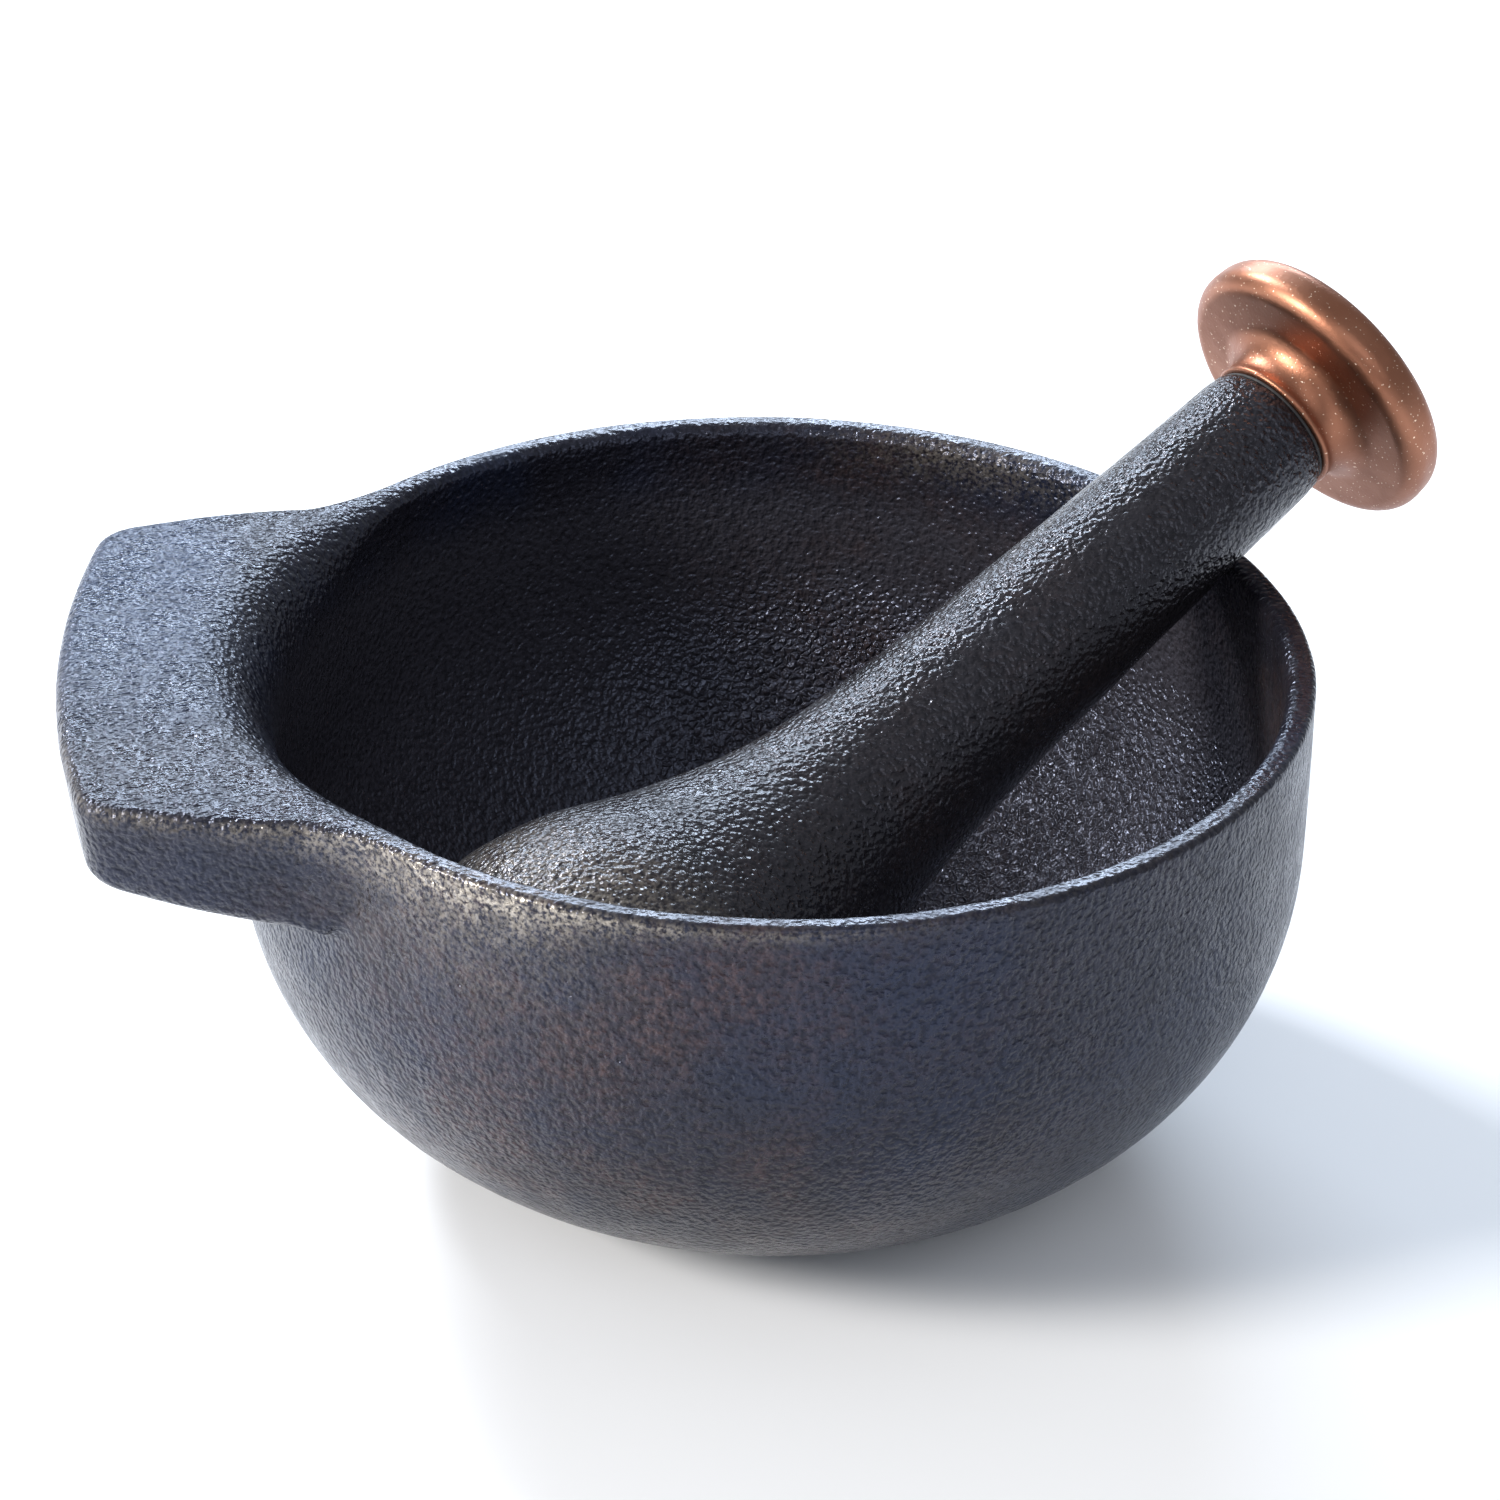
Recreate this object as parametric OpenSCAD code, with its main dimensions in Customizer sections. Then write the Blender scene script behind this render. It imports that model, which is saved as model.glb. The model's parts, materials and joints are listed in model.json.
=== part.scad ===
// Cast-iron mortar with a wide tab handle, and its pestle with a screwed-on metal knob.
// Millimetres. +Z is up, the origin is the centre of the mortar's base, the tab points to -X.

/* [Bowl] */
// Outer diameter of the bowl at its rim
bowl_d = 140; // [130:1:150]
// Height of the bowl, from the table to the rim
bowl_h = 70; // [68:1:76]
// Depth below the rim where the wall stays upright
band_h = 21; // [18:1:24]
// Diameter of the flat foot
foot_d = 60; // [56:1:64]
// Wall thickness at the rim
wall_t = 4; // [3.6:0.1:4]
// Thickness of the floor
floor_t = 3.6; // [3.2:0.1:3.6]
// Fullness of the bowl's curve, where 2 is an ellipse
fullness = 2.2; // [2.1:0.05:2.3]

/* [Tab handle] */
// How far the tab's end reaches from the bowl's axis
tab_reach = 92.5; // [88:0.5:96]
// Half width of the tab where it meets the bowl
tab_half_w = 43.5; // [40:0.1:45]
// Angle by which each side of the tab widens towards the bowl
tab_flare = 11.5; // [8:0.5:14]
// Thickness of the tab where it meets the bowl
tab_t = 16.5; // [14:0.5:18]
// Radius of the scooped edge between the tab and the cavity
scoop_r = 11; // [8:0.5:12]

/* [Pestle] */
// Diameter of the shaft under the knob
shaft_d = 19; // [18:0.5:20]
// Largest diameter of the grinding head
head_d = 56.2; // [54:0.2:56.4]
// Length of the iron casting
pestle_len = 135; // [130:1:136]
// Lean of the pestle above the horizontal
lean = 23.7; // [23.5:0.1:23.9]
// Direction of the pestle's top end, around the bowl from +X
swing = 36.7; // [36.3:0.1:37.1]

/* [Knob] */
// Diameter of the knob
knob_d = 40; // [36:0.5:42]
// Height of the knob
knob_h = 13.8; // [13.4:0.2:16]
// Diameter of the knob's stud
stud_d = 8; // [6:1:8]
// Thickness of the washer under the knob
washer_t = 0.6; // [0.4:0.1:0.8]

/* [Hidden] */
$fn = 96;

bowl_r = bowl_d / 2;
cavity_r = bowl_r - wall_t;
band_z = bowl_h - band_h;
curve_steps = 24;
lip_outer_r = 1.3;
lip_inner_r = 2;
foot_edge_r = foot_d / 2;
cavity_floor_r = foot_d / 2;

// A superellipse that runs upright at (side_r, band_z) and reaches (floor_r, z) at the bottom
function full_depth(side_r, floor_r, z) =
    (band_z - z) / pow(1 - pow(floor_r / side_r, fullness), 1 / fullness);
function curve_z(side_r, floor_r, z, r) =
    band_z - full_depth(side_r, floor_r, z) * pow(max(0, 1 - pow(r / side_r, fullness)), 1 / fullness);
// Angle steps bunch the points where the curve turns upright
function curve(side_r, floor_r, z) = [
    for (i = [0 : curve_steps])
        let (r = floor_r + (side_r - floor_r) * sin(90 * i / curve_steps))
        [r, curve_z(side_r, floor_r, z, r)]
];
function arc(centre, r, from, to, steps) = [
    for (i = [0 : steps])
        let (a = from + (to - from) * i / steps)
        [centre[0] + r * cos(a), centre[1] + r * sin(a)]
];

// Tab outline: end arc, rounded corners, flared sides, and fillets into the bowl's wall
tab_end_r = 160;
tab_corner_r = 6.5;
tab_fillet_r = 25;
tab_side_at = [-61, tab_half_w];
tab_root_x = -40;
side_dir = [cos(tab_flare), sin(tab_flare)];
side_normal = [-sin(tab_flare), cos(tab_flare)];
side_off = side_normal * tab_side_at;
end_centre = [tab_end_r - tab_reach, 0];
fillet_off = side_off + tab_fillet_r;
fillet_run = sqrt(pow(bowl_r + tab_fillet_r, 2) - pow(fillet_off, 2));
fillet_centre = fillet_off * side_normal - fillet_run * side_dir;
corner_off = side_off - tab_corner_r;
corner_b = side_dir * end_centre;
corner_c = pow(corner_off, 2) - 2 * corner_off * (side_normal * end_centre)
    + end_centre * end_centre - pow(tab_end_r - tab_corner_r, 2);
corner_centre = corner_off * side_normal + (corner_b - sqrt(corner_b * corner_b - corner_c)) * side_dir;
corner_dir = corner_centre - end_centre;
end_angle = atan2(corner_dir[1], corner_dir[0]);
fillet_angle = atan2(-fillet_centre[1], -fillet_centre[0]);
tab_side = concat(
    arc(end_centre, tab_end_r, 180, end_angle, 8),
    arc(corner_centre, tab_corner_r, end_angle, 90 + tab_flare, 8),
    arc(fillet_centre, tab_fillet_r, tab_flare - 90, fillet_angle, 12)
);
tab_outline = concat(tab_side, [[tab_root_x, 0]],
    [for (i = [len(tab_side) - 1 : -1 : 1]) [tab_side[i][0], -tab_side[i][1]]]);

// Tab seen from the side
tab_top_edge_r = 2;
tab_low_edge_r = 3.5;
tab_draft = 7;
tab_rise = 8;
tab_low_z = bowl_h - tab_t;
tab_low_x = -60;
scoop_x = -20;
scoop_top_r = 55;

// The pestle's own frame: origin where the shaft ends under the knob, +Z towards the knob
collar_at = [68.2, 31.9, 85];
shaft_r = shaft_d / 2;
head_r = head_d / 2;
spline_steps = 6;
// Stations down the casting: distance below the shaft's end as a share of its length, radius
pestle_stations = [
    [0.020, shaft_r + 0.3], [0.185, shaft_r + 1.0], [0.444, shaft_r + 2.6], [0.615, shaft_r + 5.1],
    [0.741, head_r * 0.71], [0.830, head_r * 0.907], [0.900, head_r * 0.994], [0.935, head_r]
];
head_end_r = pestle_len * (1 - 0.935);
head_flat_r = head_r - head_end_r * 1.9;

// Knob, from its lip up to its top
knob_r = knob_d / 2;
knob_lip_r = shaft_r + 0.3;
knob_waist_r = shaft_r + 0.1;
flare_r = 4.2;
knob_rim_r = 2.8;
knob_rim_low_z = 8.3;
knob_rim_top_z = 9.8;
bore_r = stud_d / 2 + 0.05;
stud_in_pestle = 15;
stud_in_knob = 9.4;
bore_spare = 0.4;

// Smooth curve through the stations (Catmull-Rom)
function station(i) = pestle_stations[max(0, min(len(pestle_stations) - 1, i))];
function spline(a, b, c, d, t) =
    0.5 * (2 * b + (c - a) * t + (2 * a - 5 * b + 4 * c - d) * t * t + (3 * b - a - 3 * c + d) * t * t * t);
function shaft_curve() = [
    for (i = [0 : len(pestle_stations) - 2], s = [0 : spline_steps - 1])
        let (p = spline(station(i - 1), station(i), station(i + 1), station(i + 2), s / spline_steps))
        [p[1], -p[0] * pestle_len]
];

module in_pestle_frame() {
    translate(collar_at) rotate([0, 90 - lean, swing]) children();
}

module bowl_outside() {
    rotate_extrude()
        polygon(concat(
            [[0, 0]],
            curve(bowl_r, foot_edge_r, 0),
            arc([bowl_r - lip_outer_r, bowl_h - lip_outer_r], lip_outer_r, 0, 90, 6),
            [[0, bowl_h]]
        ));
}

module bowl_cavity() {
    rotate_extrude()
        polygon(concat(
            [[0, floor_t]],
            curve(cavity_r, cavity_floor_r, floor_t),
            arc([cavity_r + lip_inner_r, bowl_h - lip_inner_r], lip_inner_r, 180, 90, 6),
            [[cavity_r + lip_inner_r, bowl_h + 1], [0, bowl_h + 1]]
        ));
}

// Rounds the edge between the tab's top and the cavity
module scoop() {
    translate([scoop_x, 0, 0]) rotate_extrude()
        polygon(concat(
            [[0, bowl_h - scoop_r]],
            arc([scoop_top_r, bowl_h - scoop_r], scoop_r, 180, 90, 12),
            [[scoop_top_r, bowl_h + 1], [0, bowl_h + 1]]
        ));
}

module tab() {
    end_x = -tab_reach;
    low_end = [end_x + tab_t * tan(tab_draft), tab_low_z + (tab_low_x + tab_reach) * tan(tab_rise)];
    low_centre = low_end + [tab_low_edge_r * 1.05, tab_low_edge_r * 0.85];
    intersection() {
        linear_extrude(bowl_h) polygon(tab_outline);
        rotate([90, 0, 0]) linear_extrude(bowl_d, center = true)
            polygon(concat(
                [[tab_root_x, bowl_h]],
                arc([end_x + tab_top_edge_r, bowl_h - tab_top_edge_r], tab_top_edge_r, 90, 180 + tab_draft, 6),
                arc(low_centre, tab_low_edge_r, 180 + tab_draft, 270 - tab_rise, 6),
                [[tab_low_x, tab_low_z], [tab_root_x, tab_low_z]]
            ));
    }
}

module mortar() {
    color("#2e3036") difference() {
        union() {
            bowl_outside();
            tab();
        }
        bowl_cavity();
        scoop();
    }
}

module pestle() {
    curve_pts = shaft_curve();
    color("#34353a") in_pestle_frame() difference() {
        rotate_extrude()
            polygon(concat(
                [[0, 0], [shaft_r - 0.5, 0], [shaft_r, -0.5]],
                curve_pts,
                [for (a = [0 : 10 : 90])
                    [head_flat_r + (head_r - head_flat_r) * cos(a), head_end_r * (1 - sin(a)) - pestle_len]],
                [[0, -pestle_len]]
            ));
        translate([0, 0, -stud_in_pestle]) cylinder(r = bore_r, h = stud_in_pestle + 1);
    }
}

module pestle_knob() {
    rim_x = knob_r - knob_rim_r;
    color("#b87452") in_pestle_frame() translate([0, 0, washer_t]) difference() {
        rotate_extrude()
            polygon(concat(
                [[0, 0], [knob_lip_r - 0.3, 0], [knob_lip_r, 0.3], [knob_lip_r, 0.8], [knob_waist_r, 1.1]],
                arc([knob_waist_r + flare_r, 1.1], flare_r, 180, 100, 10),
                arc([rim_x, knob_rim_low_z], knob_rim_r, -84, 0, 10),
                arc([rim_x, knob_rim_top_z], knob_rim_r, 0, 60, 8),
                [[knob_r * 0.6, knob_h - 0.4], [knob_r * 0.3, knob_h - 0.1], [0, knob_h]]
            ));
        translate([0, 0, -1]) cylinder(r = bore_r, h = stud_in_knob + bore_spare + 1);
    }
}

module knob_stud() {
    color("#9a9c9e") in_pestle_frame()
        translate([0, 0, bore_spare - stud_in_pestle])
            cylinder(d = stud_d, h = stud_in_pestle - bore_spare + washer_t + stud_in_knob);
}

module knob_washer() {
    color("#141416") in_pestle_frame() difference() {
        cylinder(r = shaft_r - 0.3, h = washer_t);
        translate([0, 0, -1]) cylinder(r = bore_r + 0.05, h = washer_t + 2);
    }
}

mortar();
pestle();
pestle_knob();
knob_stud();
knob_washer();
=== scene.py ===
"""Looks of the cast-iron mortar and pestle: cast skin, rubbed edges with painted highlights and a satin
copper knob.
"""
import json
import math

import bpy
import numpy as np
from mathutils import Matrix, Vector, noise


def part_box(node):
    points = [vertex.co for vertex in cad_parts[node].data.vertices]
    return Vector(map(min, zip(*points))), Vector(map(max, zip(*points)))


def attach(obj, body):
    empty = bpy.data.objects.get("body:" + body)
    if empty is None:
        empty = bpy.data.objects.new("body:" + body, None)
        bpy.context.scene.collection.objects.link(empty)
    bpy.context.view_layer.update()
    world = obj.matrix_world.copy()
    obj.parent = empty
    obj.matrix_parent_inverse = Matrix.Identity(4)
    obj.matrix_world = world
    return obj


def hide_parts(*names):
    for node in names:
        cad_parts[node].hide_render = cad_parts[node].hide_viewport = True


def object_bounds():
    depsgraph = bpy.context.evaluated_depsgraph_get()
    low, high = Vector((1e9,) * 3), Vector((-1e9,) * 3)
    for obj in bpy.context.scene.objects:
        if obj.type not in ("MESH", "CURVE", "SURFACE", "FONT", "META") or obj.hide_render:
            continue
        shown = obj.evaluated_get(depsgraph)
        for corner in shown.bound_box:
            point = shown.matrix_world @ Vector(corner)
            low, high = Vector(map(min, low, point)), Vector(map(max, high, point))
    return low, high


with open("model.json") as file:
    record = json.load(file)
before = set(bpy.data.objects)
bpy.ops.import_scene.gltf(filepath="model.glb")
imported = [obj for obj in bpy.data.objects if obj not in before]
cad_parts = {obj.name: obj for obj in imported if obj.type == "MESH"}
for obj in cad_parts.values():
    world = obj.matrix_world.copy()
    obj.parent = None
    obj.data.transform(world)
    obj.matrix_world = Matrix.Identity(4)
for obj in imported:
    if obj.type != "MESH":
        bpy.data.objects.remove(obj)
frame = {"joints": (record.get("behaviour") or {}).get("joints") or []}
cad_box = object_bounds()
MM = 0.001

# ---- Sizes, in millimetres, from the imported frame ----
mortar_lo, mortar_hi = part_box("mortar")
BOWL_R = mortar_hi.x / MM
BOWL_H = mortar_hi.z / MM
TAB_REACH = -mortar_lo.x / MM
knob_joint = next(j for j in frame["joints"] if j["name"] == "knob_turn")
COLLAR = np.array(knob_joint["pos_m"]) / MM
PESTLE_AXIS = np.array(knob_joint["axis"])

# ---- Shape of the mortar, in millimetres; a fullness of 2 would make the bowl an ellipse ----
WALL_T = 4.0
FLOOR_T = 3.6
BAND_H = 21.0
FOOT_R = 30.0
FULLNESS = 2.2
CAVITY_R = BOWL_R - WALL_T
BAND_Z = BOWL_H - BAND_H
LIP_INNER = 2.0
LIP_OUTER = 1.3
# Points of the skin in the band above the table are pressed down to the lift or lower
FOOT_BAND = 0.4
FOOT_LIFT = 0.05
TAB_HALF_W = 43.5
TAB_ROOT_X = 61.0
TAB_FLARE = math.radians(11.5)
TAB_END_R = 160.0
TAB_CORNER_R = 6.5
TAB_FILLET_R = 25.0
TAB_T = 16.5
TAB_LOW_X = 60.0
TAB_RISE = math.radians(8.0)
TAB_DRAFT = math.radians(6.0)
TAB_TOP_EDGE = 2.0
TAB_LOW_EDGE = 3.5
TAB_UNDER_FILLET = 6.0
TAB_ROOT_DROP = 0.4
# How far the tab stands out where its top edge has its full radius
LEDGE_RUN = 6.0
# Past the tab the underside's edges run out on the bowl's wall, at these heights
TAB_FADE = 5.0
FADED_EDGE_Z = 63.0
FADED_ROOT_Z = 56.0
SCOOP_H = 11.5
SCOOP_INSET = 1.6
SCOOP_X = 20.0
SCOOP_TOP_R = 55.0
SCOOP_SPREAD = (math.radians(24), math.radians(50))
SCOOP_BLEND = 1.2
SCOOP_RUN = 7.0
# Height where the cavity's wall starts to lean in under the scoop
LEAN_IN_Z = 32.0

# ---- Shape of the pestle and its knob, in millimetres ----
PESTLE_LEN = 135.0
SHAFT_R = 9.5
HEAD_R = 28.1
# Where the head is widest, as a share of the length, and how far round its end is, in end heights
HEAD_WIDEST = 0.935
HEAD_ROUND = 1.9
STUD_R = 4.0
BORE_R = 4.05
STUD_IN_PESTLE = 15.0
STUD_IN_KNOB = 9.4
BORE_SPARE = 0.4
WASHER_T = 0.6
PITCH = 1.25
THREAD_DEPTH = 0.6
KNOB_R = 20.0
KNOB_H = 13.8
KNOB_FLARE_R = 4.3
KNOB_NECK_Z = 1.25
KNOB_EDGE_R = 2.8
KNOB_EDGE_LOW_Z = 8.4
KNOB_EDGE_TOP_Z = 9.8

# ---- Fineness of the meshes, in millimetres or in points round the axis ----
WALL_STEP = 1.5
PESTLE_STEP = 0.85
KNOB_STEP = 0.3
PESTLE_AROUND = 220
KNOB_AROUND = 160
WASHER_AROUND = 96
THREAD_AROUND = 48
THREAD_PER_TURN = 10

# ---- Shallow hollows left by the sand mould: size and depth, in millimetres ----
MORTAR_HOLLOWS = [(11.0, 0.14), (2.2, 0.05)]
PESTLE_HOLLOWS = [(10.0, 0.14), (2.2, 0.05)]


# ---- Mesh helpers ----
def smoothstep(low, high, x):
    t = np.clip((x - low) / (high - low), 0.0, 1.0)
    return t * t * (3 - 2 * t)


def bell(x, centre, width):
    """1 at the centre, falling away smoothly on both sides."""
    return np.exp(-(((x - centre) / width) ** 2))


def resample(path, step):
    """Points at an even spacing along a polyline, its ends kept."""
    path = np.asarray(path, float)
    run = np.concatenate([[0], np.cumsum(np.linalg.norm(np.diff(path, axis=0), axis=1))])
    at = np.linspace(0, run[-1], max(2, int(round(run[-1] / step)) + 1))
    return np.stack([np.interp(at, run, path[:, i]) for i in range(path.shape[1])], -1)


def round_corner(before, corner, after, radius, steps):
    """An arc in place of a corner, as a rational curve; arrays of points on the last axis."""
    a, b = before - corner, after - corner
    la = np.maximum(np.linalg.norm(a, axis=-1, keepdims=True), 1e-9)
    lb = np.maximum(np.linalg.norm(b, axis=-1, keepdims=True), 1e-9)
    a, b = a / la, b / lb
    half = np.arccos(np.clip((a * b).sum(-1, keepdims=True), -1, 1)) / 2
    trim = np.maximum(radius / np.maximum(np.tan(half), 1e-3), 1.0)
    trim = np.minimum(trim, 0.48 * np.minimum(la, lb))
    start, end, weight = corner + a * trim, corner + b * trim, np.sin(half)
    out = []
    for t in np.linspace(0, 1, steps):
        wa, wc, wb = (1 - t) ** 2, 2 * t * (1 - t) * weight, t * t
        out.append((wa * start + wc * corner + wb * end) / (wa + wc + wb))
    return out


def straight(a, b, steps):
    """Points strictly between a and b."""
    return [a + (b - a) * t for t in np.linspace(0, 1, steps + 2)[1:-1]]


def ring_mesh(name, rings, looped=False):
    """A closed skin over rings of points. A ring of one point closes an end; a loop has no ends."""
    verts, faces, starts = [], [], []
    for ring in rings:
        starts.append(len(verts))
        verts.extend(ring)
    for k in range(len(rings) if looped else len(rings) - 1):
        following = (k + 1) % len(rings)
        a, b = starts[k], starts[following]
        count = max(len(rings[k]), len(rings[following]))
        for i in range(count):
            j = (i + 1) % count
            if len(rings[k]) == 1:
                faces.append((a, b + j, b + i))
            elif len(rings[following]) == 1:
                faces.append((a + i, a + j, b))
            else:
                faces.append((a + i, a + j, b + j, b + i))
    mesh = bpy.data.meshes.new(name)
    mesh.from_pydata([tuple(v) for v in np.asarray(verts) * MM], [], faces)
    mesh.validate()
    mesh.shade_smooth()
    piece = bpy.data.objects.new(name, mesh)
    bpy.context.scene.collection.objects.link(piece)
    return piece


def pestle_point(r, h, angle):
    """A point in the frame, from the pestle's own radius, height towards the knob and angle."""
    side = np.cross(PESTLE_AXIS, [0, 0, 1])
    side /= np.linalg.norm(side)
    over = np.cross(side, PESTLE_AXIS)
    return COLLAR + PESTLE_AXIS * h + r * (math.cos(angle) * side + math.sin(angle) * over)


def lathe(name, profile, steps, looped=False):
    """Turns a profile of (radius, height) about the pestle's axis. A radius of 0 closes an end."""
    rings = []
    for r, h in profile:
        if r < 1e-6:
            rings.append([pestle_point(0, h, 0)])
        else:
            rings.append([pestle_point(r, h, -2 * math.pi * i / steps) for i in range(steps)])
    return ring_mesh(name, rings, looped)


def coordinates(piece):
    """The vertices of a piece, in metres."""
    co = np.empty(len(piece.data.vertices) * 3)
    piece.data.vertices.foreach_get("co", co)
    return co.reshape(-1, 3)


def vertex_normals(mesh):
    normals = np.empty(len(mesh.vertices) * 3)
    mesh.vertices.foreach_get("normal", normals)
    return normals.reshape(-1, 3)


def cast_skin(piece, layers):
    """Shallow hollows, against the way the faces point. Each layer is (size in mm, depth in mm)."""
    mesh = piece.data
    co = coordinates(piece)
    normals = vertex_normals(mesh)
    depth = np.zeros(len(co))
    for size, deep in layers:
        waves = np.array([noise.noise(Vector(p) / (size * MM)) for p in co])
        depth += deep * MM * (0.5 + 0.5 * np.clip(waves, -1, 1))
    moved = co - normals * depth[:, None]
    mesh.vertices.foreach_set("co", moved.ravel())
    mesh.update()


def paint(piece, name, values):
    """A number on each vertex that the material reads."""
    layer = piece.data.attributes.new(name, "FLOAT", "POINT")
    layer.data.foreach_set("value", np.asarray(values, np.float32))


# ---- Mortar ----
def bowl_curve(side_r, floor_z):
    """The bowl's wall from the flat floor up to where it turns upright."""
    full = (BAND_Z - floor_z) / (1 - (FOOT_R / side_r) ** FULLNESS) ** (1 / FULLNESS)
    r = FOOT_R + (side_r - FOOT_R) * np.sin(np.linspace(0, math.pi / 2, 400))
    z = BAND_Z - full * np.maximum(0, 1 - (r / side_r) ** FULLNESS) ** (1 / FULLNESS)
    path = np.concatenate([[[0, floor_z]], np.stack([r, z], -1)])
    return resample(path, WALL_STEP)


def arc(centre, r, start, end, steps):
    """Points on an arc, with angles in radians."""
    a = np.linspace(start, end, steps)
    return centre + r * np.stack([np.cos(a), np.sin(a)], -1)


def tab_outline():
    """Half of the tab's outline with x towards its end: end arc, corner, side, fillet into the bowl."""
    side = np.array([-math.cos(TAB_FLARE), math.sin(TAB_FLARE)])
    out = np.array([math.sin(TAB_FLARE), math.cos(TAB_FLARE)])
    off = out @ np.array([TAB_ROOT_X, TAB_HALF_W])
    end_centre = np.array([TAB_REACH - TAB_END_R, 0.0])
    fillet_off = off + TAB_FILLET_R
    run = math.sqrt((BOWL_R + TAB_FILLET_R) ** 2 - fillet_off**2)
    fillet_centre = fillet_off * out - run * side
    corner_off = off - TAB_CORNER_R
    b = side @ end_centre
    c = corner_off**2 - 2 * corner_off * (out @ end_centre) + end_centre @ end_centre
    c -= (TAB_END_R - TAB_CORNER_R) ** 2
    corner_centre = corner_off * out + (b - math.sqrt(b * b - c)) * side
    to_corner = corner_centre - end_centre
    end_angle = math.atan2(to_corner[1], to_corner[0])
    side_angle = math.pi / 2 - TAB_FLARE
    bowl_angle = math.atan2(-fillet_centre[1], -fillet_centre[0])
    return np.concatenate([
        arc(end_centre, TAB_END_R, 0.0, end_angle, 60),
        arc(corner_centre, TAB_CORNER_R, end_angle, side_angle, 40),
        arc(fillet_centre, TAB_FILLET_R, side_angle - math.pi, bowl_angle, 60),
    ])


def polar(path, angles):
    """Radius of an outline at each angle from the tab's direction; the bowl's own past its end."""
    a = np.arctan2(path[:, 1], path[:, 0])
    r = np.hypot(path[:, 0], path[:, 1])
    order = np.argsort(a)
    return np.interp(np.abs(angles), a[order], r[order], right=BOWL_R)


def inset(path, by):
    """An outline moved inwards."""
    ahead = np.gradient(path, axis=0)
    ahead /= np.linalg.norm(ahead, axis=1, keepdims=True)
    return path - by * np.stack([ahead[:, 1], -ahead[:, 0]], -1)


def point(r, z, like):
    """Points (r, z), as many as there are angles in like."""
    return np.stack([np.broadcast_to(r, like.shape), np.broadcast_to(z, like.shape)], -1).astype(float)


def mortar_rings(angles):
    """Sections through the bowl's axis, one for each angle from the tab, as rings of (radius, height)."""
    outline = tab_outline()
    tab_r = polar(outline, angles)
    low_r = polar(inset(outline, TAB_T * math.tan(TAB_DRAFT)), angles)
    near_tab = 1 - smoothstep(*SCOOP_SPREAD, np.abs(angles))
    ledge = np.clip((tab_r - BOWL_R) / LEDGE_RUN, 0, 1)

    # The scoop's top edge is a circle set towards the tab, blended into the round lip
    across = SCOOP_X * np.sin(angles)
    scoop = SCOOP_X * np.cos(angles) + np.sqrt(np.maximum(SCOOP_TOP_R**2 - across**2, 0))
    lip = CAVITY_R + LIP_INNER
    top_r = 0.5 * (scoop + lip + np.sqrt((scoop - lip) ** 2 + SCOOP_BLEND**2)) - 0.05
    depth = LIP_INNER + (SCOOP_H - LIP_INNER) * smoothstep(0, SCOOP_RUN, top_r - lip)
    inner_r = CAVITY_R - SCOOP_INSET * near_tab

    def under_z(r):
        return BOWL_H - TAB_T + (r * np.cos(angles) - TAB_LOW_X) * math.tan(TAB_RISE)

    # Below the tab's side the casting returns to the bowl's wall
    cut = np.clip((tab_r - BOWL_R) / np.maximum(tab_r - low_r, 1e-6), 0, 1)
    low_z = np.where(low_r > BOWL_R, under_z(low_r), BOWL_H - cut * (BOWL_H - under_z(BOWL_R)))
    low_r = np.maximum(low_r, BOWL_R)
    there = smoothstep(0, TAB_FADE, tab_r - BOWL_R)
    low_z = FADED_EDGE_Z + (low_z - FADED_EDGE_Z) * there
    root_z = FADED_ROOT_Z + (np.minimum(under_z(BOWL_R), low_z - TAB_ROOT_DROP) - FADED_ROOT_Z) * there

    wall = bowl_curve(CAVITY_R, FLOOR_T)[1:]
    rings = []
    for r, z in wall:
        lean = smoothstep(LEAN_IN_Z, BAND_Z, z)
        rings.append(point(r - (CAVITY_R - inner_r) * lean, z, angles))
    lip_low = point(inner_r, BOWL_H - depth, angles)
    rings += straight(rings[-1], lip_low, 6)
    lip_corner, lip_top = point(inner_r, BOWL_H, angles), point(top_r, BOWL_H, angles)
    for t in np.linspace(0, 1, 15):
        a, c, b = (1 - t) ** 2, 2 * t * (1 - t) * math.sqrt(0.5), t * t
        rings.append((a * lip_low + c * lip_corner + b * lip_top) / (a + b + c))
    top_corner = point(tab_r, BOWL_H, angles)
    low_corner = point(low_r, low_z, angles)
    root = point(BOWL_R, root_z, angles)
    band = point(BOWL_R, BAND_Z, angles)
    top_edge = (LIP_OUTER + (TAB_TOP_EDGE - LIP_OUTER) * ledge)[:, None]
    upper = round_corner(lip_top, top_corner, low_corner, top_edge, 7)
    lower = round_corner(top_corner, low_corner, root, TAB_LOW_EDGE, 8)
    under = round_corner(low_corner, root, band, TAB_UNDER_FILLET, 8)
    rings += straight(rings[-1], upper[0], 10) + upper
    rings += straight(upper[-1], lower[0], 9) + lower
    rings += straight(lower[-1], under[0], 9) + under
    rings += straight(under[-1], band, 4)
    rings += [point(r, z, angles) for r, z in bowl_curve(BOWL_R, 0.0)[:0:-1]]
    return rings


def mortar_angles():
    """Angles from the tab's direction, closer together across the tab."""
    wide = math.radians(52)
    fine = np.linspace(-wide, wide, 231)
    coarse = np.linspace(wide, 2 * math.pi - wide, 260)[1:-1]
    all_round = np.concatenate([fine, coarse])
    return np.where(all_round > math.pi, all_round - 2 * math.pi, all_round)


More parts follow.
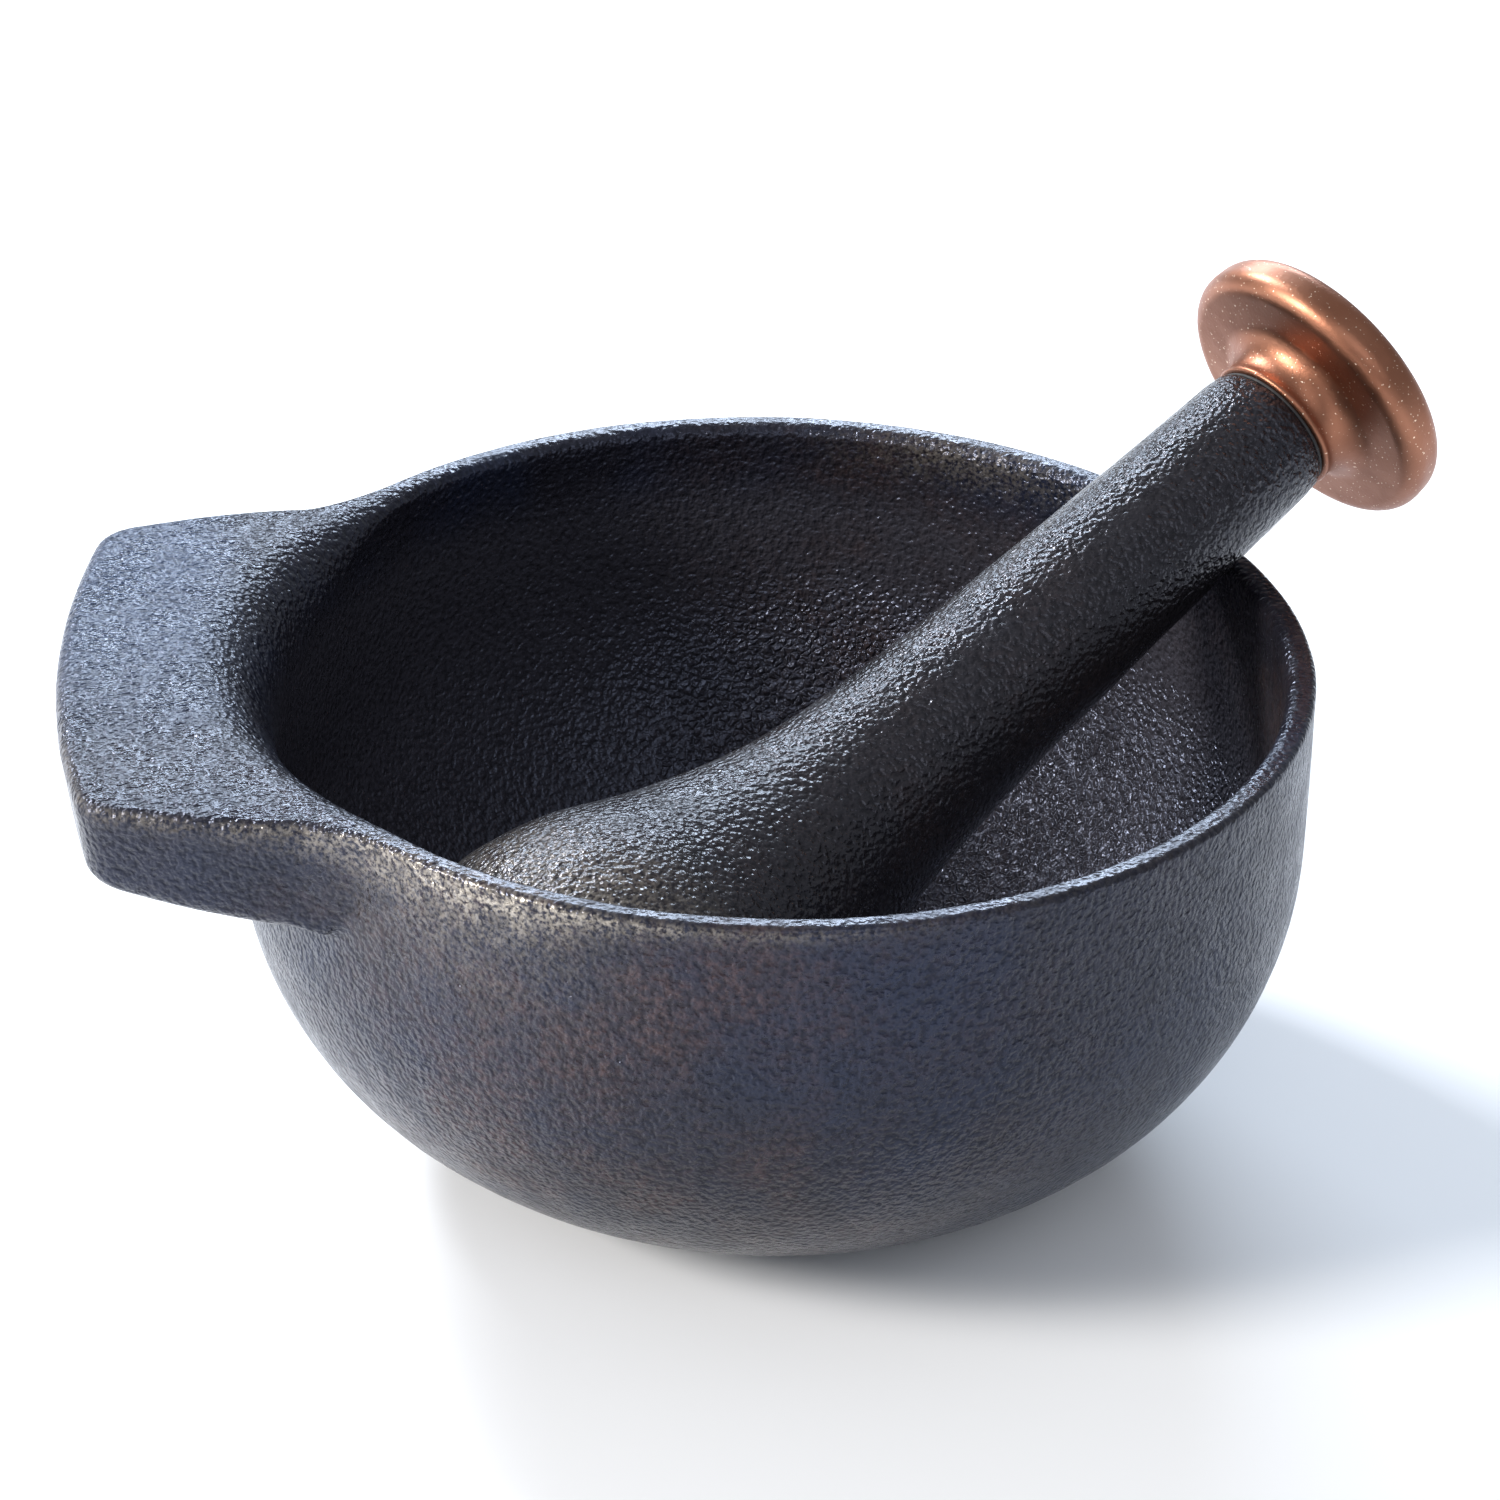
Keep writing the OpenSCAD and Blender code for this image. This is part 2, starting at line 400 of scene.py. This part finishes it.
def paint_mortar(piece):
    """Where the mortar is rubbed bright or given a painted highlight, brown, given a painted blue sheen,
    smooth or coarse; places in millimetres.
    """
    co = coordinates(piece) / MM
    x, y, z = co.T
    r, around = np.hypot(x, y), np.arctan2(y, -x)
    below = BOWL_H - z
    edge_r = polar(tab_outline(), around)
    to_edge = np.hypot(r - edge_r, below)
    # 1 where the surface faces away from the middle of the bowl, 0 in the cavity
    from_middle = co - (0, 0, BAND_Z)
    facing = np.sum(vertex_normals(piece.data) * from_middle, 1) / np.linalg.norm(from_middle, axis=1)
    outside = smoothstep(-0.3, 0.3, facing)
    inside = 1 - outside

    # Rubbed bronze specks and a painted highlight just under the front edge, wider where the tab runs into
    # the bowl, and a broad painted highlight down the outer wall there
    front = smoothstep(5, -30, y) * smoothstep(30, -30, x) * (0.4 + 0.6 * bell(x, -38, 20))
    band_width = 2.0 + 3.2 * bell(x, -45, 16)
    band = smoothstep(0.2, 1.0, below) * bell(below, 0, band_width) * (r > edge_r - 2.0)
    # Painted highlight: a broad bright patch on the outer wall below the front edge
    painted_highlight_glow = 0.28 * bell(x, -42, 17) * bell(below, 0, 15) * outside
    back_lip = bell(np.hypot(x - 34, y - 58), 0, 16) * bell(z, 68, 3)
    wear_and_highlight = front * (band + painted_highlight_glow) + 0.3 * back_lip + 0.05 * bell(to_edge, 0, 1.5)
    paint(piece, "wear_and_highlight", np.clip(wear_and_highlight, 0, 1))

    # A smooth lip, a cavity of drier iron, and a coarser floor in it opposite the tab
    on_lip = smoothstep(-60, -40, x) * smoothstep(0, 2, r - CAVITY_R)
    paint(piece, "smooth", bell(z, BOWL_H, 1.2) * on_lip)
    paint(piece, "coarse", smoothstep(52, 34, z) * smoothstep(-25, 15, x) * inside)
    paint(piece, "dry", smoothstep(66, 56, z) * inside)

    # A painted blue sheen on the top of the tab's end; brown on the front wall, the back wall and the
    # right of the cavity
    paint(piece, "painted_sheen", smoothstep(-66, -76, x) * smoothstep(-22, 8, y) * smoothstep(62, 68, z))
    rust = bell(x, -25, 46) * smoothstep(0, -45, y) * outside
    rust += 0.55 * bell(np.hypot(x - 22, y - 60), 0, 24) * inside
    rust += 0.9 * bell(np.hypot(x - 66, y), 0, 22) * bell(z, 58, 10) * inside
    paint(piece, "rust", np.clip(rust, 0, 1))


def make_mortar():
    angles = mortar_angles()
    rings = [[(0.0, 0.0, FLOOR_T)]]
    for ring in mortar_rings(angles):
        r, z = ring[:, 0], ring[:, 1]
        rings.append(np.stack([-r * np.cos(angles), r * np.sin(angles), z], -1))
    rings.append([(0.0, 0.0, 0.0)])
    piece = ring_mesh("mortar_casting", rings)
    cast_skin(piece, MORTAR_HOLLOWS)

    # The foot is ground flat, and nothing rises past the rim
    co = coordinates(piece)
    foot = co[:, 2] < FOOT_BAND * MM
    co[foot, 2] = np.minimum(co[foot, 2], FOOT_LIFT * MM)
    co[:, 2] = np.clip(co[:, 2], 0, BOWL_H * MM)
    piece.data.vertices.foreach_set("co", co.ravel())
    piece.data.update()
    paint_mortar(piece)
    return piece


# ---- Pestle ----
def pestle_profile():
    """Spline through stations of (share of the length from the knob's end, radius)."""
    stations = [
        (0.020, SHAFT_R + 0.3), (0.185, SHAFT_R + 1.0), (0.444, SHAFT_R + 2.6), (0.615, SHAFT_R + 5.1),
        (0.741, HEAD_R * 0.71), (0.830, HEAD_R * 0.907), (0.900, HEAD_R * 0.994), (HEAD_WIDEST, HEAD_R),
    ]
    stations = np.array([stations[0]] + stations + [stations[-1]])
    curve = []
    for a, b, c, d in zip(stations, stations[1:], stations[2:], stations[3:]):
        for t in np.linspace(0, 1, 16, endpoint=False):
            p = 2 * b + (c - a) * t + (2 * a - 5 * b + 4 * c - d) * t**2 + (3 * b - a - 3 * c + d) * t**3
            curve.append((0.5 * p[1], -0.5 * p[0] * PESTLE_LEN))
    end = PESTLE_LEN * (1 - HEAD_WIDEST)
    flat = HEAD_R - end * HEAD_ROUND
    for a in np.linspace(0, math.pi / 2, 24):
        curve.append((flat + (HEAD_R - flat) * math.cos(a), end * (1 - math.sin(a)) - PESTLE_LEN))
    return curve


# Known fault: this profile runs the opposite way to the knob's, so the casting's faces point
# inwards and its hollows come out as swellings. Reversing the profile's points would mend it.
def make_pestle():
    bore = [(0, -STUD_IN_PESTLE), (BORE_R, -STUD_IN_PESTLE), (BORE_R, 0)]
    shoulder = [(BORE_R, 0), (SHAFT_R - 0.4, 0), (SHAFT_R - 0.1, -0.15), (SHAFT_R, -0.5)]
    skin = resample(shoulder + pestle_profile() + [(1.2, -PESTLE_LEN)], PESTLE_STEP)
    piece = lathe("pestle_casting", bore + list(skin[1:]) + [(0, -PESTLE_LEN)], PESTLE_AROUND)
    cast_skin(piece, PESTLE_HOLLOWS)

    # The head's front is worn and brown, and the middle of the shaft faintly brown
    co = coordinates(piece) / MM
    down = (COLLAR - co) @ PESTLE_AXIS
    worn_head = smoothstep(104, 128, down) * smoothstep(-14, -46, co[:, 1])
    mid_shaft = smoothstep(20, 60, down) * smoothstep(115, 80, down)
    paint(piece, "wear_and_highlight", 0.5 * worn_head)
    paint(piece, "rust", np.clip(0.9 * worn_head + 0.25 * mid_shaft, 0, 1))
    for name in ("smooth", "coarse", "dry", "painted_sheen"):
        paint(piece, name, np.zeros(len(co)))
    return piece


def make_knob():
    """Lip, hollow neck, flange, rounded band, crowned top and the blind hole for the stud."""
    lip_r, waist_r, edge_x = SHAFT_R + 0.3, SHAFT_R + 0.1, KNOB_R - KNOB_EDGE_R
    lip = [(BORE_R, 0), (lip_r - 0.3, 0), (lip_r, 0.12), (lip_r + 0.02, 0.5), (lip_r - 0.1, 0.8)]
    neck_at = np.array([waist_r + KNOB_FLARE_R, KNOB_NECK_Z])
    neck = arc(neck_at, KNOB_FLARE_R, math.pi, math.radians(106), 24)
    low_at, top_at = np.array([edge_x, KNOB_EDGE_LOW_Z]), np.array([edge_x - 0.1, KNOB_EDGE_TOP_Z])
    low_edge = arc(low_at, KNOB_EDGE_R, math.radians(-76), 0, 18)
    top_edge = arc(top_at, KNOB_EDGE_R, math.radians(8), math.radians(62), 14)
    crown = [(KNOB_R * 0.6, KNOB_H - 0.35), (KNOB_R * 0.3, KNOB_H - 0.08), (0.6, KNOB_H)]
    skin = resample(np.concatenate([lip, neck, low_edge, top_edge, crown]), KNOB_STEP)
    for _ in range(2):
        skin[1:-1] = 0.25 * skin[:-2] + 0.5 * skin[1:-1] + 0.25 * skin[2:]
    depth = STUD_IN_KNOB + BORE_SPARE
    profile = [(0, depth), (BORE_R, depth), (BORE_R, 0)] + list(skin[1:]) + [(0, KNOB_H)]
    return lathe("knob_turned", [(r, h + WASHER_T) for r, h in profile], KNOB_AROUND)


def make_stud():
    """A rolled thread with flat crests and roots, tapered at both ends."""
    low, high = BORE_SPARE - STUD_IN_PESTLE, WASHER_T + STUD_IN_KNOB
    taper_len, taper_cut = 0.6, 0.4
    heights = np.arange(low, high, PITCH / THREAD_PER_TURN)
    rings = [[pestle_point(0, low, 0)]]
    for h in heights:
        ring = []
        full = min(1.0, (h - low) / taper_len, (high - h) / taper_len)
        for i in range(THREAD_AROUND):
            angle = -2 * math.pi * i / THREAD_AROUND
            phase = (h / PITCH + angle / (2 * math.pi)) % 1.0
            flank = abs(2 * phase - 1)
            root = np.clip(1.35 * flank - 0.15, 0, 1) * THREAD_DEPTH
            ring.append(pestle_point(STUD_R - root - taper_cut * (1 - full), h, angle))
        rings.append(ring)
    rings.append([pestle_point(0, heights[-1], 0)])
    return ring_mesh("stud_threaded", rings)


def make_washer():
    """A thin ring with its corners cut."""
    inner, outer, cut = BORE_R + 0.1, SHAFT_R - 0.3, 0.15
    profile = [
        (inner, cut), (inner + cut, 0.02), (outer - cut, 0.0), (outer, cut),
        (outer, WASHER_T - cut), (outer - cut, WASHER_T), (inner + cut, WASHER_T - 0.02),
        (inner, WASHER_T - cut),
    ]
    return lathe("washer_ring", profile, WASHER_AROUND, looped=True)


# ---- Materials ----
class Nodes:
    """Short calls for building one material's node tree."""

    def __init__(self, name):
        self.mat = bpy.data.materials.new(name)
        self.mat.use_nodes = True
        self.tree = self.mat.node_tree
        self.shader = self.tree.nodes["Principled BSDF"]
        self.place = self.tree.nodes.new("ShaderNodeTexCoord").outputs["Object"]

    def put(self, socket, value):
        if isinstance(value, bpy.types.NodeSocket):
            self.tree.links.new(value, socket)
        else:
            socket.default_value = value

    def noise(self, scale, detail=2.0, rough=0.5, distortion=0.0):
        n = self.tree.nodes.new("ShaderNodeTexNoise")
        self.put(n.inputs["Vector"], self.place)
        n.inputs["Scale"].default_value = scale
        n.inputs["Detail"].default_value = detail
        n.inputs["Roughness"].default_value = rough
        n.inputs["Distortion"].default_value = distortion
        return n.outputs["Fac"]

    def warp(self, scale, amount):
        """The object's coordinates, pushed about by noise so that cells come out uneven."""
        wave = self.tree.nodes.new("ShaderNodeTexNoise")
        self.put(wave.inputs["Vector"], self.place)
        wave.inputs["Scale"].default_value = scale
        n = self.tree.nodes.new("ShaderNodeVectorMath")
        n.operation = "MULTIPLY_ADD"
        self.put(n.inputs[0], wave.outputs["Color"])
        n.inputs[1].default_value = (amount, amount, amount)
        self.put(n.inputs[2], self.place)
        return n.outputs["Vector"]

    def pebbles(self, scale, where):
        """Domes over random cells, with a dip along each border between two cells."""
        n = self.tree.nodes.new("ShaderNodeTexVoronoi")
        n.feature = "DISTANCE_TO_EDGE"
        self.put(n.inputs["Vector"], where)
        n.inputs["Scale"].default_value = scale
        return self.span(n.outputs["Distance"], 0.0, 0.40)

    def attribute(self, name):
        n = self.tree.nodes.new("ShaderNodeAttribute")
        n.attribute_name = name
        return n.outputs["Fac"]

    def math(self, operation, a, b=0.0, clamp=False):
        n = self.tree.nodes.new("ShaderNodeMath")
        n.operation = operation
        n.use_clamp = clamp
        self.put(n.inputs[0], a)
        self.put(n.inputs[1], b)
        return n.outputs[0]

    def span(self, value, low, high, to_low=0.0, to_high=1.0):
        n = self.tree.nodes.new("ShaderNodeMapRange")
        n.interpolation_type = "SMOOTHSTEP"
        self.put(n.inputs["Value"], value)
        for key, v in (("From Min", low), ("From Max", high), ("To Min", to_low), ("To Max", to_high)):
            n.inputs[key].default_value = v
        return n.outputs["Result"]

    def mix(self, factor, a, b):
        n = self.tree.nodes.new("ShaderNodeMix")
        n.data_type = "RGBA"
        self.put(n.inputs["Factor"], factor)
        self.put(n.inputs["A"], a if isinstance(a, bpy.types.NodeSocket) else (*a, 1.0))
        self.put(n.inputs["B"], b if isinstance(b, bpy.types.NodeSocket) else (*b, 1.0))
        return n.outputs["Result"]

    def bump(self, height, strength, distance):
        n = self.tree.nodes.new("ShaderNodeBump")
        n.inputs["Strength"].default_value = strength
        n.inputs["Distance"].default_value = distance
        self.put(n.inputs["Height"], height)
        return n.outputs["Normal"]


def cast_iron(name, charcoal, slate, gloss, sheen):
    """Seasoned cast iron: pebbled skin with painted shade in its pits, blue-black and brown clouds, a
    painted blue sheen, and bronze specks with painted highlights on rubbed edges.
    """
    # Bare metal is the colour of rubbed specks and of painted highlights
    # Heat blue is the colour of a painted blue sheen
    # Pit is painted shade for the hollows of the skin
    dry_iron, painted_sheen_blue, painted_pit_shade = (0.030, 0.029, 0.037), (0.020, 0.038, 0.085), (0.004, 0.004, 0.005)
    dark_brown, light_brown, bare_metal_and_highlight = (0.020, 0.012, 0.010), (0.060, 0.032, 0.024), (0.40, 0.36, 0.31)
    n = Nodes(name)
    coarse, smooth = n.attribute("coarse"), n.attribute("smooth")
    skin, grain = n.noise(1220.0, 1.0, 0.4), n.noise(1750.0, 2.5, 0.6)
    pebble_share = n.math("ADD", 0.12, n.math("MULTIPLY", coarse, 0.7))
    pebble = n.math("MULTIPLY", n.pebbles(900.0, n.warp(700.0, 0.0012)), pebble_share)
    height = n.math("ADD", n.math("ADD", skin, n.math("MULTIPLY", grain, 0.16)), pebble)
    height = n.math("MULTIPLY", height, n.math("SUBTRACT", 1.0, n.math("MULTIPLY", smooth, 0.6)))
    n.put(n.shader.inputs["Normal"], n.bump(height, 1.0, 0.00044))

    cloud = n.noise(26.0, 3.0, 0.55, 0.3)
    colour = n.mix(n.span(cloud, 0.42, 0.68), charcoal, slate)
    colour = n.mix(n.attribute("dry"), colour, dry_iron)
    # Painted blue sheen on the top of the tab's end
    colour = n.mix(n.math("MULTIPLY", n.attribute("painted_sheen"), 0.5), colour, painted_sheen_blue)

    # Brown where it is painted, in patches, and faint stray patches everywhere
    patch = n.span(n.noise(60.0, 5.0, 0.62), 0.36, 0.66)
    stray = n.span(n.noise(34.0, 4.0, 0.6), 0.6, 0.78)
    rust = n.math("MULTIPLY", n.attribute("rust"), patch)
    rust = n.math("ADD", rust, n.math("MULTIPLY", stray, 0.22), clamp=True)
    brown = n.mix(n.span(n.noise(700.0, 4.0, 0.7), 0.42, 0.66), dark_brown, light_brown)
    colour = n.mix(n.math("MULTIPLY", rust, 0.75), colour, brown)
    # Painted shade: the hollows of the skin are darkened towards the pit colour
    colour = n.mix(n.span(skin, 0.36, 0.50, 0.35, 0.0), colour, painted_pit_shade)

    # Rubbed bronze specks and painted highlights show on the tops of the grain
    scatter = n.span(n.noise(420.0, 2.0, 0.5), 0.3, 0.6, 0.4, 1.0)
    speck = n.math("MULTIPLY", n.span(grain, 0.36, 0.64), scatter)
    wear_and_highlight_specks = n.math("MULTIPLY", n.attribute("wear_and_highlight"), speck, clamp=True)
    n.put(n.shader.inputs["Base Color"], n.mix(wear_and_highlight_specks, colour, bare_metal_and_highlight))
    n.put(n.shader.inputs["Metallic"], n.math("MULTIPLY", wear_and_highlight_specks, 0.8))
    rough = n.span(n.noise(180.0, 3.0, 0.6), 0.3, 0.7, gloss - 0.05, gloss + 0.09)
    n.put(n.shader.inputs["Roughness"], n.math("SUBTRACT", rough, n.math("MULTIPLY", wear_and_highlight_specks, 0.08)))

    # Pits shine less than the skin around them, which paints shade into the hollows, and the ground floor
    # of the cavity more
    shine = n.math("MULTIPLY", n.span(skin, 0.36, 0.54, 0.34, 0.52), n.math("ADD", 1.0, coarse))
    n.put(n.shader.inputs["Specular IOR Level"], shine)
    n.shader.inputs["IOR"].default_value = 1.46
    n.shader.inputs["Specular Tint"].default_value = (*sheen, 1.0)
    return n.mat


def satin_copper():
    """Copper plating over a fine blasted finish, with a few bright flecks that are painted glints."""
    n = Nodes("satin_copper")
    deep, pale, painted_glint_colour = (0.265, 0.110, 0.066), (0.330, 0.150, 0.094), (1.0, 0.80, 0.62)
    colour = n.mix(n.span(n.noise(70.0, 3.0, 0.5), 0.3, 0.7), deep, pale)
    # Painted glints: tiny bright flecks in the colour
    painted_glints = n.span(n.noise(2600.0, 1.0, 0.5), 0.70, 0.76)
    n.put(n.shader.inputs["Base Color"], n.mix(painted_glints, colour, painted_glint_colour))
    n.shader.inputs["Metallic"].default_value = 1.0
    grain = n.math("ADD", n.noise(1900.0, 2.0, 0.6), n.math("MULTIPLY", n.noise(420.0, 2.0, 0.5), 0.5))
    n.put(n.shader.inputs["Normal"], n.bump(grain, 0.10, 0.0003))
    n.put(n.shader.inputs["Roughness"], n.span(n.noise(300.0, 3.0, 0.6), 0.3, 0.7, 0.37, 0.45))
    return n.mat


def plated_steel():
    n = Nodes("plated_steel")
    colour = n.mix(n.noise(300.0, 3.0), (0.46, 0.46, 0.47), (0.62, 0.62, 0.63))
    n.put(n.shader.inputs["Base Color"], colour)
    n.shader.inputs["Metallic"].default_value = 1.0
    n.put(n.shader.inputs["Roughness"], n.span(n.noise(800.0, 2.0), 0.3, 0.7, 0.26, 0.42))
    return n.mat


# The washer's black is also painted shade for the dark line in the gap between knob and shaft
def black_rubber_shade_gap():
    n = Nodes("black_rubber_shade_gap")
    colour = n.mix(n.noise(900.0, 3.0), (0.012, 0.012, 0.013), (0.026, 0.026, 0.027))
    n.put(n.shader.inputs["Base Color"], colour)
    n.put(n.shader.inputs["Roughness"], n.span(n.noise(600.0, 2.0), 0.3, 0.7, 0.6, 0.75))
    n.put(n.shader.inputs["Normal"], n.bump(n.noise(1800.0, 2.0), 0.2, 0.0002))
    return n.mat


def pale_floor():
    n = Nodes("pale_floor")
    colour = n.mix(n.noise(3.0, 2.0), (0.90, 0.915, 0.945), (0.915, 0.93, 0.955))
    n.put(n.shader.inputs["Base Color"], colour)
    n.shader.inputs["Roughness"].default_value = 0.55
    return n.mat


# ---- Assembly ----
mortar_iron = cast_iron(
    "mortar_iron", charcoal=(0.0100, 0.0095, 0.0138), slate=(0.0085, 0.0118, 0.0255),
    gloss=0.25, sheen=(0.64, 0.72, 1.0),
)
pestle_iron = cast_iron(
    "pestle_iron", charcoal=(0.0120, 0.0108, 0.0125), slate=(0.012, 0.012, 0.0155),
    gloss=0.23, sheen=(0.80, 0.83, 1.0),
)
pieces = [
    (make_mortar(), "mortar", "mortar", "mortar_iron", mortar_iron),
    (make_pestle(), "pestle", "pestle", "pestle_iron", pestle_iron),
    (make_knob(), "knob", "pestle_knob", "knob_copper", satin_copper()),
    (make_stud(), "pestle", "knob_stud", "stud_steel", plated_steel()),
    (make_washer(), "washer", "knob_washer", "washer_rubber", black_rubber_shade_gap()),
]
for piece, body, node, slot, material in pieces:
    piece.data.materials.append(material)
    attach(piece, body)
    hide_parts(node)


# ---- Floor, lights and camera, in metres ----
FLOOR_SIZE = 6.0
FLOOR_GAP = 0.0002
CAMERA_AZIMUTH = math.radians(-4.4)
CAMERA_ELEVATION = math.radians(29.2)
CAMERA_ROLL = math.radians(1.2)
CAMERA_DISTANCE = 0.700
CAMERA_LENS = 128.8
AIM_RIGHT = -0.0028
AIM_HEIGHT = 0.055


def make_floor():
    mesh = bpy.data.meshes.new("floor")
    s = FLOOR_SIZE / 2
    mesh.from_pydata([(-s, -s, 0), (s, -s, 0), (s, s, 0), (-s, s, 0)], [], [(0, 1, 2, 3)])
    floor = bpy.data.objects.new("floor", mesh)
    bpy.context.scene.collection.objects.link(floor)
    floor.location.z = cad_box[0].z - FLOOR_GAP
    mesh.materials.append(pale_floor())
    return floor


def area_light(name, place, aim, width, height, power, colour):
    data = bpy.data.lights.new(name, "AREA")
    data.shape = "RECTANGLE"
    data.size, data.size_y = width, height
    data.energy = power
    data.color = colour
    light = bpy.data.objects.new(name, data)
    light.location = place
    light.rotation_euler = (Vector(aim) - Vector(place)).to_track_quat("-Z", "Y").to_euler()
    bpy.context.scene.collection.objects.link(light)


def make_sky(colour, strength):
    world = bpy.data.worlds.new("world")
    world.use_nodes = True
    background = world.node_tree.nodes["Background"]
    background.inputs["Color"].default_value = (*colour, 1.0)
    background.inputs["Strength"].default_value = strength
    bpy.context.scene.world = world


def make_camera():
    ca, sa = math.cos(CAMERA_AZIMUTH), math.sin(CAMERA_AZIMUTH)
    ce, se = math.cos(CAMERA_ELEVATION), math.sin(CAMERA_ELEVATION)
    right, up, back = Vector((ca, sa, 0)), Vector((-sa * se, ca * se, ce)), Vector((sa * ce, -ca * ce, se))
    data = bpy.data.cameras.new("camera")
    data.lens = CAMERA_LENS
    data.sensor_width = 36.0
    data.clip_start = 0.01
    camera = bpy.data.objects.new("camera", data)
    turn = Matrix((right, up, back)).transposed() @ Matrix.Rotation(CAMERA_ROLL, 3, "Z")
    aim = right * AIM_RIGHT + Vector((0, 0, AIM_HEIGHT))
    camera.matrix_world = Matrix.Translation(aim + back * CAMERA_DISTANCE) @ turn.to_4x4()
    bpy.context.scene.collection.objects.link(camera)
    bpy.context.scene.camera = camera


make_floor()
centre = (cad_box[0] + cad_box[1]) / 2
# A key at the left, a small spark behind the tab, a cool strip at the back, a weak fill in front
area_light("key", (-1.40, -0.50, 0.80), centre, 0.45, 0.45, 34.0, (1.0, 0.96, 0.90))
area_light("spark", (-0.96, 1.02, 1.25), centre, 0.35, 0.35, 34.0, (0.93, 0.96, 1.0))
area_light("back", (0.00, 1.60, 0.84), centre, 1.1, 0.35, 22.0, (0.74, 0.86, 1.0))
area_light("front", (0.20, -1.50, 1.20), centre, 1.6, 1.0, 7.5, (0.92, 0.95, 1.0))
make_sky((0.90, 0.94, 1.0), 0.47)
bpy.context.scene.view_settings.view_transform = "Standard"
make_camera()
